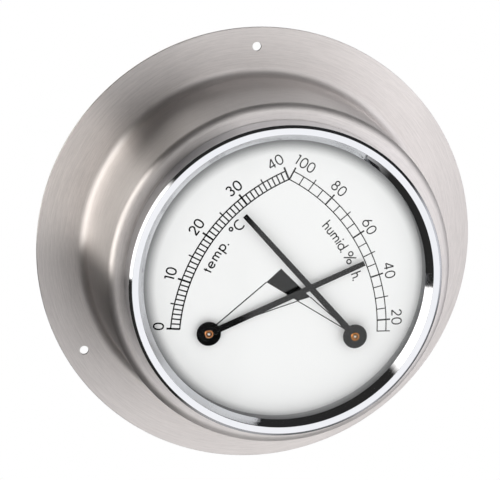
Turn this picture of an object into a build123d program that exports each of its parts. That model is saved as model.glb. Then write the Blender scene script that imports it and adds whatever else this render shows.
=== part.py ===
from build123d import *
from dataclasses import dataclass
from math import acos, atan2, cos, degrees, hypot, radians, sin
import os

# Wall-mounted thermo-hygrometer: a flanged spun housing holds a dial insert with a
# thermometer movement (right pivot) and a hygrometer movement (left pivot).
#
# Frame, in mm: the origin is the centre of the flange's back face, on the wall. +Z is up
# and the dial faces -Y. Distances in front of the wall are written as positive depths, so
# a face at depth d lies at y = -d. Plane.XZ has its normal along -Y, so Plane.XZ.offset(d)
# is the plane at depth d and extrusions from it run forwards.
#
# Names ending in _D are depths, or (back, front) pairs of depths; _R are radii and _T
# thicknesses. Places on the dial are (x, z). Angles are in degrees, counter-clockwise
# from +X seen from the front.

os.makedirs("parts", exist_ok=True)

# ---------------------------------------------------------------- driving dimensions
OVERCUT = 1.0           # how far a cut through sheet starts behind it and ends past it
SLOT_OVERCUT = 0.1      # how far a screwdriver slot's cut starts behind the head

# housing; centres are (radius, depth)
FLANGE_R = 66.0
SHEET = 1.0
COVE_R = 3.1            # front-side radius where the flange turns into the wall
COVE_CENTRE = (54.4, SHEET + COVE_R)
SHOULDER_R = 2.4
SHOULDER_CENTRE = (47.5, 36.9)
LIP_D = SHOULDER_CENTRE[1] + SHOULDER_R
LIP_HOLE_R = 44.1

# glass, bezel and packing
GASKET_T = 0.25
GLASS_GASKET_T = 0.3
BEZEL_R = 45.3
GLASS_D = (44.26, 45.46)
GLASS_GASKET_D = GLASS_D[0] - GLASS_GASKET_T
INSERT_R = 43.2

# dial and movement plate
DIAL_D = (40.1, 40.6)
PLATE_T = 1.2
PLATE_D = DIAL_D[0] - PLATE_T
PIVOT_SPAN = 42.4
PIVOT_X0 = 0.45         # the two movements sit a little right of the dial's centre
PIVOT_Z = -16.4
THERMO_PIVOT = (PIVOT_X0 + PIVOT_SPAN / 2, PIVOT_Z)
HYGRO_PIVOT = (PIVOT_X0 - PIVOT_SPAN / 2, PIVOT_Z)
PIVOTS = (THERMO_PIVOT, HYGRO_PIVOT)
DIAL_STUD_R = 1.0
LOWER_STUD_X = 7.45     # lower studs, to each side of PIVOT_X0
DIAL_STUDS = (
    (PIVOT_X0, -3.4),
    (PIVOT_X0 - LOWER_STUD_X, -28.5),
    (PIVOT_X0 + LOWER_STUD_X, -28.5),
)

# arbors and bearings
ARBOR_R = 0.4
BORE_R = 0.42
BUSH_R = 1.5
REAR_BUSH_R = 2.0
REAR_BUSH_D = 21.9
COLLAR_R = 1.2

# bridges
BRIDGE_D = (23.2, 24.2)
BRIDGE_T = BRIDGE_D[1] - BRIDGE_D[0]
BRIDGE_LEG = 10.5       # inner face of each leg from the pivot, up and down
BRIDGE_FOOT = 15.5      # end of each foot from the pivot
BRIDGE_W = 8.0
BRIDGE_SCREW_Z = 13.5   # screws above and below the pivot
BRIDGE_SCREW_R = 1.0

# coiled elements
STRIP_D = (29.0, 34.0)
COLLET_R = 1.8
COLLET_GAP = 0.03       # the collet turns while the coil is drawn rigid
COIL_OUTER_R = 8.4
STUD_R = 0.6

# regulators
ARM_D = 22.35
ARM_T = 0.8
ARM_W = 2.8
PEG_R = 1.1
PEG_AT = 7.0            # peg's distance from the pivot
PEG_BACK_D = 17.7

# insert case and its retaining springs
CASE_R = 43.3
CASE_T = 0.8
CASE_BACK_D = 16.2
CASE_BEND_R = 2.5
SPRING_ANGLES = (33.3, 153.3, 273.3)
SPRING_R = CASE_R + 0.05    # inner face
SPRING_T = 0.5
SPRING_W = 8.0
RIVET_D = 28.5
RIVET_R = 1.0
RIVET_CUT_FROM = 40.0   # radius where the cuts for the rivets start
RIVET_CUT = 6.0


@dataclass(frozen=True)
class Movement:
    name: str
    pivot: tuple
    side: int               # side of the pivot with the outer stud: +1 right, -1 left
    pointer_depth: float
    pointer_angle: float    # at rest
    collar_back: float      # collar's reach behind pointer_depth
    collar_front: float     # collar's reach in front of pointer_depth
    arbor_front: float      # arbor's reach in front of pointer_depth
    strip_t: float
    half_turns: int


MOVEMENTS = (
    Movement(
        name="thermo", pivot=THERMO_PIVOT, side=1,
        pointer_depth=43.45, pointer_angle=134.66,
        collar_back=0.45, collar_front=0.55, arbor_front=0.65,
        strip_t=0.3, half_turns=10,
    ),
    Movement(
        name="hygro", pivot=HYGRO_PIVOT, side=-1,
        pointer_depth=42.25, pointer_angle=25.81,
        collar_back=0.55, collar_front=0.65, arbor_front=0.8,
        strip_t=0.25, half_turns=8,
    ),
)


# ---------------------------------------------------------------- planes and places
def at_pivot(pivot):
    """Section plane through a pivot axis: local x is radial, local y is global Y."""
    return Plane((pivot[0], 0, pivot[1]))


def pivot_axis(pivot):
    return Axis((pivot[0], 0, pivot[1]), (0, 1, 0))


def direction(angle):
    return (cos(radians(angle)), 0, sin(radians(angle)))


def facing_plane(pivot, depth, angle=0):
    """Plane facing forwards, centred on a pivot: local x runs at angle."""
    return Plane((pivot[0], -depth, pivot[1]), x_dir=direction(angle), z_dir=(0, -1, 0))


def radial_plane(angle, depth=0.0):
    """Section plane through the instrument's axis: local x points out at angle."""
    return Plane((0, -depth, 0), x_dir=direction(angle), z_dir=direction(angle + 90))


def rivet_plane(angle):
    """Plane facing outwards across a rivet, where the cut for it starts."""
    centre = (0, -RIVET_D, 0)
    return Plane(centre, x_dir=(0, 1, 0), z_dir=direction(angle)).offset(RIVET_CUT_FROM)


def profile(points):
    """(radius, depth) pairs as points of a section plane."""
    return [(radius, -depth) for radius, depth in points]


def bridge_screw_places(*pivots):
    return [(x, z + sign * BRIDGE_SCREW_Z) for x, z in pivots for sign in (-1, 1)]


# ---------------------------------------------------------------- shared builders
def save(name, part):
    part.label = name
    export_step(part, f"parts/{name}.step")


def make_turned(name, points, pivot=(0, 0)):
    """Piece turned about a pivot from a closed outline of (radius, depth) points."""
    with BuildPart() as piece:
        with BuildSketch(at_pivot(pivot)):
            with BuildLine():
                Polyline(*profile(points), close=True)
            make_face()
        revolve(axis=pivot_axis(pivot))
    save(name, piece.part)


def make_rings(name, depth, thickness, outer_r, inner_r, centres=((0, 0),)):
    """Flat rings or sleeves with their back faces at depth."""
    with BuildPart() as rings:
        with BuildSketch(Plane.XZ.offset(depth)):
            with Locations(*centres):
                Circle(outer_r)
                Circle(inner_r, mode=Mode.SUBTRACT)
        extrude(amount=thickness)
    save(name, rings.part)


# ---------------------------------------------------------------- housing
SCREW_PCD = 120.5
SCREW_HOLE_R = 1.35
SCREW_ANGLE = 93.3      # first of the three holes
RIM_FILLET = 0.35
MOUTH_CHAMFER = 0.15


def wall_lean():
    """Lean of the housing's wall, the straight line tangent to cove and shoulder."""
    inwards = COVE_CENTRE[0] - SHOULDER_CENTRE[0]
    forwards = SHOULDER_CENTRE[1] - COVE_CENTRE[1]
    spacing = hypot(inwards, forwards)
    return degrees(atan2(forwards, inwards) - acos((COVE_R + SHOULDER_R) / spacing))


def make_flange_housing():
    lean = wall_lean()
    cove, shoulder = profile((COVE_CENTRE, SHOULDER_CENTRE))
    with BuildPart() as housing:
        with BuildSketch(Plane.XY):
            with BuildLine():
                edge_line = Line((FLANGE_R, 0), (FLANGE_R, -SHEET))
                Line(edge_line @ 1, (cove[0], -SHEET))
                cove_front = CenterArc(cove, COVE_R, 90, 90 + lean)
                shoulder_front = CenterArc(shoulder, SHOULDER_R, lean, -90 - lean)
                Line(cove_front @ 1, shoulder_front @ 0)
                Polyline(
                    shoulder_front @ 1,
                    (LIP_HOLE_R, -LIP_D),
                    (LIP_HOLE_R, -LIP_D + SHEET),
                    (shoulder[0], -LIP_D + SHEET),
                )
                shoulder_back = CenterArc(shoulder, SHOULDER_R - SHEET, -90, 90 + lean)
                cove_back = CenterArc(cove, COVE_R + SHEET, 180 + lean, -90 - lean)
                Line(shoulder_back @ 1, cove_back @ 0)
                Line(cove_back @ 1, edge_line @ 0)
            make_face()
        revolve(axis=Axis.Y)
        # rounded front edge of the rim, and a broken edge round the lip's hole
        rim = (
            housing.edges()
            .filter_by(GeomType.CIRCLE)
            .filter_by(lambda e: abs(e.radius - FLANGE_R) < 0.01 and e.center().Y < -0.5)
        )
        fillet(rim, RIM_FILLET)
        mouth = (
            housing.edges()
            .filter_by(GeomType.CIRCLE)
            .filter_by(lambda e: abs(e.radius - LIP_HOLE_R) < 0.01)
        )
        chamfer(mouth, MOUTH_CHAMFER)
        with BuildSketch(Plane.XZ.offset(-OVERCUT)):
            with PolarLocations(SCREW_PCD / 2, 3, start_angle=SCREW_ANGLE):
                Circle(SCREW_HOLE_R)
        extrude(amount=SHEET + 2 * OVERCUT, mode=Mode.SUBTRACT)
    save("flange_housing", housing.part)


# ---------------------------------------------------------------- bezel and glass
BEZEL_BACK_D = LIP_D + GASKET_T
BEZEL_FRONT_D = 47.7
BEZEL_FACE = (42.48, 44.30)     # inner and outer radius of the flat front
BEZEL_MOUTH_R = 40.70
BEZEL_BORE_R = 43.35
BEZEL_SKIRT_R = 43.9
BEZEL_SKIRT_D = 36.4
BEZEL_FILLET = 0.12
GLASS_CHAMFER = 0.15

BEZEL_OUTLINE = (       # radius, depth
    (BEZEL_BORE_R, BEZEL_SKIRT_D),
    (BEZEL_SKIRT_R, BEZEL_SKIRT_D),
    (BEZEL_SKIRT_R, BEZEL_BACK_D),
    (BEZEL_R, BEZEL_BACK_D),
    (BEZEL_R - 0.2, BEZEL_FRONT_D - 0.72),
    (BEZEL_FACE[1], BEZEL_FRONT_D),
    (BEZEL_FACE[0], BEZEL_FRONT_D),
    (BEZEL_MOUTH_R, GLASS_D[1]),
    (BEZEL_BORE_R, GLASS_D[1]),
)

# keeps the glass clear of the pointers; its inner wall flares towards the glass
SPACER_OUTLINE = (      # radius, depth
    (41.0, DIAL_D[1]),
    (41.4, GLASS_GASKET_D),
    (INSERT_R, GLASS_GASKET_D),
    (INSERT_R, DIAL_D[1]),
)


def make_bezel_ring():
    with BuildPart() as bezel:
        with BuildSketch(Plane.XY) as bezel_section:
            with BuildLine():
                Polyline(*profile(BEZEL_OUTLINE), close=True)
            make_face()
            # the three corners furthest forward
            fillet(bezel_section.vertices().sort_by(Axis.Y)[:3], BEZEL_FILLET)
        revolve(axis=Axis.Y)
    save("bezel_ring", bezel.part)


def make_front_glass():
    with BuildPart() as glass:
        with BuildSketch(Plane.XZ.offset(GLASS_D[0])):
            Circle(INSERT_R)
        extrude(amount=GLASS_D[1] - GLASS_D[0])
        chamfer(glass.edges().filter_by(GeomType.CIRCLE), GLASS_CHAMFER)
    save("front_glass", glass.part)


# ---------------------------------------------------------------- dial and plate
DIAL_STUD_BACK_D = 36.0
PLATE_W = 34.0
PLATE_TRIM_R = 41.8
AIR_SLOTS_Z = (-12.5, -17.5, -22.5)
AIR_SLOT = (12.0, 2.4)      # length, width
NUT_T = 1.6
NUT_INNER_R = 2.0           # from the centre to a flat


def make_dial_plate():
    with BuildPart() as dial:
        with BuildSketch(Plane.XZ.offset(DIAL_D[0])):
            Circle(INSERT_R)
            with Locations(*PIVOTS):
                Circle(BUSH_R + 0.2, mode=Mode.SUBTRACT)
        extrude(amount=DIAL_D[1] - DIAL_D[0])
        # threaded studs soldered to the back
        with BuildSketch(Plane.XZ.offset(DIAL_STUD_BACK_D)):
            with Locations(*DIAL_STUDS):
                Circle(DIAL_STUD_R)
        extrude(amount=DIAL_D[0] - DIAL_STUD_BACK_D)
    save("dial_plate", dial.part)


def make_movement_plate():
    with BuildPart() as plate:
        with BuildSketch(Plane.XZ.offset(PLATE_D)):
            with Locations((PIVOT_X0, PIVOT_Z)):
                SlotCenterToCenter(PIVOT_SPAN, PLATE_W)
            Circle(PLATE_TRIM_R, mode=Mode.INTERSECT)
            with Locations(*PIVOTS):
                Circle(BUSH_R, mode=Mode.SUBTRACT)
            with Locations(*DIAL_STUDS):
                Circle(DIAL_STUD_R + 0.1, mode=Mode.SUBTRACT)
            with Locations(*bridge_screw_places(*PIVOTS)):
                Circle(BRIDGE_SCREW_R, mode=Mode.SUBTRACT)
            # air passages between the two movements
            with Locations(*[(PIVOT_X0, z) for z in AIR_SLOTS_Z]):
                SlotOverall(*AIR_SLOT, mode=Mode.SUBTRACT)
        extrude(amount=PLATE_T)
    save("movement_plate", plate.part)


def make_dial_nuts():
    with BuildPart() as nuts:
        with BuildSketch(Plane.XZ.offset(PLATE_D - NUT_T)):
            with Locations(*DIAL_STUDS):
                RegularPolygon(NUT_INNER_R, 6, major_radius=False)
                Circle(DIAL_STUD_R, mode=Mode.SUBTRACT)
        extrude(amount=NUT_T)
    save("dial_nuts", nuts.part)


# ---------------------------------------------------------------- bridges
BRIDGE_OUTER_FILLET = 1.4
BRIDGE_INNER_FILLET = 0.4
SCREW_HEAD_R = 1.9
SCREW_SEAT_D = PLATE_D - BRIDGE_T
SCREW_HEAD_D = SCREW_SEAT_D - 1.2
SCREW_SLOT = (4.2, 0.45)    # length, width
SCREW_SLOT_DEPTH = 0.55
SCREW_SLOT_ANGLE = 25

BRIDGE_SCREW_OUTLINE = (    # radius, depth
    (0, SCREW_HEAD_D),
    (SCREW_HEAD_R - 0.3, SCREW_HEAD_D),
    (SCREW_HEAD_R, SCREW_HEAD_D + 0.3),
    (SCREW_HEAD_R, SCREW_SEAT_D),
    (BRIDGE_SCREW_R, SCREW_SEAT_D),
    (BRIDGE_SCREW_R, DIAL_D[0] - 0.3),
    (BRIDGE_SCREW_R - 0.25, DIAL_D[0] - 0.05),
    (0, DIAL_D[0] - 0.05),
)


def bridge_outline():
    """U-shaped strip with turned-out feet, as (-depth, height from the pivot)."""
    upper = [
        (BRIDGE_D[0], 0),
        (BRIDGE_D[0], BRIDGE_LEG + BRIDGE_T),
        (PLATE_D - BRIDGE_T, BRIDGE_LEG + BRIDGE_T),
        (PLATE_D - BRIDGE_T, BRIDGE_FOOT),
        (PLATE_D, BRIDGE_FOOT),
        (PLATE_D, BRIDGE_LEG),
        (BRIDGE_D[1], BRIDGE_LEG),
        (BRIDGE_D[1], 0),
    ]
    lower = [(depth, -height) for depth, height in reversed(upper[1:-1])]
    return [(-depth, height) for depth, height in upper + lower]


def bends(outline, depth, height):
    """The outline's vertices at a depth, at this height above and below the pivot."""
    return outline.vertices().filter_by(
        lambda v: abs(v.X + depth) < 0.01 and abs(abs(v.Y) - height) < 0.01
    )


def make_bridge(movement):
    x, z = movement.pivot
    with BuildPart() as bridge:
        with BuildSketch(Plane((x, 0, z), x_dir=(0, 1, 0), z_dir=(1, 0, 0))) as outline:
            with BuildLine():
                Polyline(*bridge_outline(), close=True)
            make_face()
            fillet(bends(outline, BRIDGE_D[0], BRIDGE_LEG + BRIDGE_T), BRIDGE_OUTER_FILLET)
            fillet(bends(outline, BRIDGE_D[1], BRIDGE_LEG), BRIDGE_INNER_FILLET)
        extrude(amount=BRIDGE_W / 2, both=True)
        with BuildSketch(Plane.XZ.offset(BRIDGE_D[0] - OVERCUT)):
            with Locations(movement.pivot):
                Circle(REAR_BUSH_R)
        extrude(amount=BRIDGE_T + 2 * OVERCUT, mode=Mode.SUBTRACT)
        with BuildSketch(Plane.XZ.offset(SCREW_SEAT_D - OVERCUT)):
            with Locations(*bridge_screw_places(movement.pivot)):
                Circle(BRIDGE_SCREW_R + 0.05)
        extrude(amount=BRIDGE_T + 2 * OVERCUT, mode=Mode.SUBTRACT)
    save(f"{movement.name}_bridge", bridge.part)


def make_bridge_screws():
    """Slotted cheese-head screws through the bridges' feet into the plate."""
    places = bridge_screw_places(*PIVOTS)
    with BuildPart() as screws:
        for place in places:
            with BuildSketch(at_pivot(place)):
                with BuildLine():
                    Polyline(*profile(BRIDGE_SCREW_OUTLINE), close=True)
                make_face()
            revolve(axis=pivot_axis(place))
        with BuildSketch(Plane.XZ.offset(SCREW_HEAD_D - SLOT_OVERCUT)):
            with Locations(*places):
                Rectangle(*SCREW_SLOT, rotation=SCREW_SLOT_ANGLE)
        extrude(amount=SCREW_SLOT_DEPTH + SLOT_OVERCUT, mode=Mode.SUBTRACT)
    save("bridge_screws", screws.part)


# ---------------------------------------------------------------- bearings and arbors
FRONT_FLANGE_R = 2.3
FRONT_FLANGE_T = 0.6
REAR_FLANGE_R = 2.8
REAR_FLANGE_T = 0.5
ARBOR_BACK_D = 22.2
ARBOR_FLANGE_R = 1.2
ARBOR_REAR_FLANGE_D = (24.9, 25.4)
ARBOR_FRONT_FLANGE_D = (37.75, 38.25)
WASHER_R = 3.3
WASHER_T = 0.35

FRONT_BUSH_OUTLINE = (      # radius, depth
    (BORE_R, PLATE_D - FRONT_FLANGE_T),
    (FRONT_FLANGE_R, PLATE_D - FRONT_FLANGE_T),
    (FRONT_FLANGE_R, PLATE_D),
    (BUSH_R, PLATE_D),
    (BUSH_R, DIAL_D[1] - 0.15),
    (BORE_R + 0.3, DIAL_D[1] - 0.15),
    (BORE_R, DIAL_D[1] - 0.35),
)

REAR_BUSH_OUTLINE = (       # radius, depth
    (BORE_R, REAR_BUSH_D),
    (REAR_BUSH_R, REAR_BUSH_D),
    (REAR_BUSH_R, BRIDGE_D[1]),
    (REAR_FLANGE_R, BRIDGE_D[1]),
    (REAR_FLANGE_R, BRIDGE_D[1] + REAR_FLANGE_T),
    (BORE_R, BRIDGE_D[1] + REAR_FLANGE_T),
)


def arbor_outline(tip):
    """(radius, depth) outline of an arbor ending at depth tip."""
    return (
        (0, ARBOR_BACK_D),
        (ARBOR_R, ARBOR_BACK_D),
        (ARBOR_R, ARBOR_REAR_FLANGE_D[0]),
        (ARBOR_FLANGE_R, ARBOR_REAR_FLANGE_D[0]),
        (ARBOR_FLANGE_R, ARBOR_REAR_FLANGE_D[1]),
        (ARBOR_R, ARBOR_REAR_FLANGE_D[1]),
        (ARBOR_R, ARBOR_FRONT_FLANGE_D[0]),
        (ARBOR_FLANGE_R, ARBOR_FRONT_FLANGE_D[0]),
        (ARBOR_FLANGE_R, ARBOR_FRONT_FLANGE_D[1]),
        (ARBOR_R, ARBOR_FRONT_FLANGE_D[1]),
        (ARBOR_R, tip - 0.12),
        (ARBOR_R - 0.15, tip),
        (0, tip),
    )


# ---------------------------------------------------------------- pointers
POINTER_L = 48.8
POINTER_T = 0.3
POINTER_HUB_R = 3.5
POINTER_W = (1.9, 1.45)     # width at the hub and at the tip
POINTER_OUTLINE = (         # along, across
    (0, -POINTER_W[0] / 2),
    (POINTER_L, -POINTER_W[1] / 2),
    (POINTER_L, POINTER_W[1] / 2),
    (0, POINTER_W[0] / 2),
)


def make_pointer(movement):
    plane = facing_plane(movement.pivot, movement.pointer_depth, movement.pointer_angle)
    with BuildPart() as pointer:
        with BuildSketch(plane):
            with BuildLine():
                Polyline(*POINTER_OUTLINE, close=True)
            make_face()
            Circle(POINTER_HUB_R)
            Circle(COLLAR_R, mode=Mode.SUBTRACT)
        extrude(amount=POINTER_T)
    save(f"{movement.name}_pointer", pointer.part)


def collar_outline(back, front):
    """(radius, depth) outline of a pointer's collar."""
    return (
        (ARBOR_R, back),
        (COLLAR_R, back),
        (COLLAR_R, front - 0.12),
        (COLLAR_R - 0.15, front),
        (ARBOR_R + 0.3, front),
        (ARBOR_R, front - 0.15),
    )


# ---------------------------------------------------------------- coiled elements
COLLET_OVERHANG = 0.5       # collet beyond each edge of the strip


def make_coil(movement, name):
    """Strip coil of tangent half circles. It starts beside the collet and ends at the
    outer stud, both on the movement's stud side."""
    start = COLLET_R + COLLET_GAP + movement.strip_t / 2
    step = (COIL_OUTER_R - start) / movement.half_turns
    with BuildPart() as coil:
        with BuildSketch(facing_plane(movement.pivot, STRIP_D[0])):
            with BuildLine():
                face_ends = []
                for face in (-1, 1):
                    points = []
                    for i in range(movement.half_turns):
                        sign = movement.side * (1 if i % 2 == 0 else -1)
                        radius = start + step * i + step / 2
                        arc = CenterArc(
                            (-sign * step / 2, 0),
                            radius + face * movement.strip_t / 2,
                            0 if sign > 0 else 180,
                            180,
                        )
                        points += [arc @ 0, arc @ 1]
                    face_ends.append((points[0], points[-1]))
                inner_face, outer_face = face_ends
                Line(inner_face[0], outer_face[0])
                Line(inner_face[1], outer_face[1])
            make_face()
        extrude(amount=STRIP_D[1] - STRIP_D[0])
    save(name, coil.part)


# ---------------------------------------------------------------- regulators
REGULATOR_HUB_R = 3.4
REGULATOR_BORE_R = 2.05
STUD_OVERHANG = 0.6         # stud in front of the strip
PEG_SLOT = (0.4, 2.6)       # width, height
PEG_SLOT_DEPTH = 0.6


def peg_x(movement):
    return movement.pivot[0] - movement.side * PEG_AT


def make_regulator(movement):
    """Arm round the rear bush, with the coil's outer stud in front of one end and a
    slotted peg behind the other."""
    x, z = movement.pivot
    reach = COIL_OUTER_R + movement.strip_t / 2 + STUD_R
    arm_front = ARM_D + ARM_T
    with BuildPart() as regulator:
        with BuildSketch(Plane.XZ.offset(ARM_D)):
            with Locations((x + movement.side * (reach - PEG_AT) / 2, z)):
                SlotCenterToCenter(reach + PEG_AT, ARM_W)
            with Locations(movement.pivot):
                Circle(REGULATOR_HUB_R)
                Circle(REGULATOR_BORE_R, mode=Mode.SUBTRACT)
        extrude(amount=ARM_T)
        with BuildSketch(Plane.XZ.offset(arm_front)):
            with Locations((x + movement.side * reach, z)):
                Circle(STUD_R)
        extrude(amount=STRIP_D[1] + STUD_OVERHANG - arm_front)
        with BuildSketch(Plane.XZ.offset(PEG_BACK_D)):
            with Locations((peg_x(movement), z)):
                Circle(PEG_R)
        extrude(amount=ARM_D - PEG_BACK_D)
        with BuildSketch(Plane.XZ.offset(PEG_BACK_D - SLOT_OVERCUT)):
            with Locations((peg_x(movement), z)):
                Rectangle(*PEG_SLOT)
        extrude(amount=PEG_SLOT_DEPTH + SLOT_OVERCUT, mode=Mode.SUBTRACT)
    save(f"{movement.name}_regulator", regulator.part)


# ---------------------------------------------------------------- insert case
LOUVRES = (                 # z, length
    (8, 44),
    (14, 44),
    (20, 44),
    (26, 34),
)
LOUVRE_W = 2.6
WINDOW_W = 4.2
WINDOWS = (                 # movement, rise above its pivot, span between end centres
    (MOVEMENTS[0], 0, 2.4),
    (MOVEMENTS[1], 0.85, 2.8),
)


def make_insert_case():
    bend_centre = (CASE_R - CASE_BEND_R, -CASE_BACK_D - CASE_BEND_R)
    back = (0, -CASE_BACK_D)
    back_inside = (0, -CASE_BACK_D - CASE_T)
    with BuildPart() as case:
        with BuildSketch(Plane.XY):
            with BuildLine():
                wall = Line((CASE_R, -DIAL_D[0]), (CASE_R, bend_centre[1]))
                bend = CenterArc(bend_centre, CASE_BEND_R, 0, 90)
                Line(bend @ 1, back)
                Line(back, back_inside)
                bend_inside = CenterArc(bend_centre, CASE_BEND_R - CASE_T, 0, 90)
                Line(back_inside, bend_inside @ 1)
                wall_inside = Line(bend_inside @ 0, (CASE_R - CASE_T, -DIAL_D[0]))
                Line(wall_inside @ 1, wall @ 0)
            make_face()
        revolve(axis=Axis.Y)
        # louvres that let the room's air reach the coils, and the calibration windows
        with BuildSketch(Plane.XZ.offset(CASE_BACK_D - OVERCUT)):
            for z, length in LOUVRES:
                with Locations((0, z)):
                    SlotOverall(length, LOUVRE_W)
            for movement, rise, span in WINDOWS:
                with Locations((peg_x(movement), movement.pivot[1] + rise)):
                    SlotCenterToCenter(span, WINDOW_W, rotation=90)
        extrude(amount=CASE_T + 2 * OVERCUT, mode=Mode.SUBTRACT)
        for angle in SPRING_ANGLES:
            with BuildSketch(rivet_plane(angle)):
                Circle(RIVET_R)
            extrude(amount=RIVET_CUT, mode=Mode.SUBTRACT)
    save("insert_case", case.part)


# ---------------------------------------------------------------- springs and rivets
SPRING_OUTLINE = (          # radius, depth
    (SPRING_R, 24.0),
    (SPRING_R + SPRING_T, 24.0),
    (SPRING_R + SPRING_T, 32.93),
    (46.72, 37.98),
    (46.28, 38.22),
    (SPRING_R, 33.07),
)

RIVET_OUTLINE = (           # distance from the instrument's axis, rivet radius
    (42.0, 0),
    (42.0, 1.8),
    (42.45, 1.8),
    (42.45, RIVET_R),
    (SPRING_R + SPRING_T, RIVET_R),
    (SPRING_R + SPRING_T, 1.8),
    (44.3, 1.5),
    (44.55, 0.8),
    (44.6, 0),
)


def make_retaining_springs():
    """Leaf springs that snap out behind the housing's lip."""
    with BuildPart() as springs:
        for angle in SPRING_ANGLES:
            with BuildSketch(radial_plane(angle)):
                with BuildLine():
                    Polyline(*profile(SPRING_OUTLINE), close=True)
                make_face()
            extrude(amount=SPRING_W / 2, both=True)
        for angle in SPRING_ANGLES:
            with BuildSketch(rivet_plane(angle)):
                Circle(RIVET_R)
            extrude(amount=RIVET_CUT, mode=Mode.SUBTRACT)
    save("retaining_springs", springs.part)


def make_spring_rivets():
    with BuildPart() as rivets:
        for angle in SPRING_ANGLES:
            with BuildSketch(radial_plane(angle, RIVET_D)):
                with BuildLine():
                    Polyline(*RIVET_OUTLINE, close=True)
                make_face()
            revolve(axis=Axis((0, -RIVET_D, 0), direction(angle)))
    save("spring_rivets", rivets.part)


# ---------------------------------------------------------------- all the pieces
make_flange_housing()
# flat rubber ring between the housing's lip and the bezel
make_rings("housing_gasket", LIP_D, GASKET_T, BEZEL_R - 0.12, LIP_HOLE_R + 0.1)
make_bezel_ring()
make_front_glass()
make_rings("glass_gasket", GLASS_GASKET_D, GLASS_GASKET_T, INSERT_R, 41.5)
make_turned("dial_spacer_ring", SPACER_OUTLINE)

make_dial_plate()
make_movement_plate()
make_dial_nuts()
make_bridge_screws()
# washers round the rear bushes, behind the regulators
make_rings("regulator_washers", REAR_BUSH_D, WASHER_T, WASHER_R, REAR_BUSH_R, PIVOTS)

for movement in MOVEMENTS:
    name = movement.name
    pivot = movement.pivot
    pointer_depth = movement.pointer_depth
    make_turned(f"{name}_front_bush", FRONT_BUSH_OUTLINE, pivot)
    make_turned(f"{name}_rear_bush", REAR_BUSH_OUTLINE, pivot)
    make_bridge(movement)
    make_turned(f"{name}_arbor", arbor_outline(pointer_depth + movement.arbor_front), pivot)
    make_pointer(movement)
    collar = collar_outline(
        pointer_depth - movement.collar_back, pointer_depth + movement.collar_front
    )
    make_turned(f"{name}_pointer_collar", collar, pivot)
    make_rings(
        f"{name}_collet",
        STRIP_D[0] - COLLET_OVERHANG,
        STRIP_D[1] - STRIP_D[0] + 2 * COLLET_OVERHANG,
        COLLET_R,
        ARBOR_R,
        (pivot,),
    )
    make_regulator(movement)

make_coil(MOVEMENTS[0], "thermo_bimetal_coil")
make_coil(MOVEMENTS[1], "hygro_strip_coil")

make_insert_case()
make_retaining_springs()
make_spring_rivets()
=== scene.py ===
"""Looks of a round wall-mounted thermo-hygrometer.

The case is turned about the Y axis, its flange lies on the plane y = 0 and the dial looks
towards -Y, with +X to the right and +Z up. Shapes are worked out in millimetres, with the
depth d = -y in front of the wall, and turned into metres when a mesh is made.
"""
import math
from math import cos, pi, sin

import bmesh
import bpy
from mathutils import Matrix, Vector
from mathutils.geometry import delaunay_2d_cdt


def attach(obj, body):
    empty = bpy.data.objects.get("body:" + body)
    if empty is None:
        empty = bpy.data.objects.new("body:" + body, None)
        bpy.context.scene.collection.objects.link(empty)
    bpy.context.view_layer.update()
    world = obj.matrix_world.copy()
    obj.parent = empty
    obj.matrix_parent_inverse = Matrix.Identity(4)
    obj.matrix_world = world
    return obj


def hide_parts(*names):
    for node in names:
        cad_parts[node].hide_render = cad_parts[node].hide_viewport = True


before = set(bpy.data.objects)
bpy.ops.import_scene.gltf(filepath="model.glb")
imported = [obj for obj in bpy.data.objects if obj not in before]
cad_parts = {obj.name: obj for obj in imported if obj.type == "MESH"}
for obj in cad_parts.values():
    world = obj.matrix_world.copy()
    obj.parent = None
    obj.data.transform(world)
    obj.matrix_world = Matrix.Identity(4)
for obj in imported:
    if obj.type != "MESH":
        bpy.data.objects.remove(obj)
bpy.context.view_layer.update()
rad = math.radians

MM = 0.001
THERMO = (21.65, -16.4)  # x, z of the thermometer pivot
HYGRO = (-20.75, -16.4)  # x, z of the hygrometer pivot
TURNED_SEGMENTS = 360
CREASE_ANGLE = 28.0  # edges sharper than this stay crisp

scene = bpy.context.scene
scene.view_settings.view_transform = "Standard"
scene.view_settings.look = "None"
scene.view_settings.exposure = 0.0
scene.view_settings.gamma = 1.0


# ---------------------------------------------------------------- shader graphs
def operator(operation, swapped=False):
    """An arithmetic method of Signal that adds one Math node."""
    def apply(self, other):
        pair = (other, self) if swapped else (self, other)
        return self.graph.math(operation, *pair)
    return apply


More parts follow.
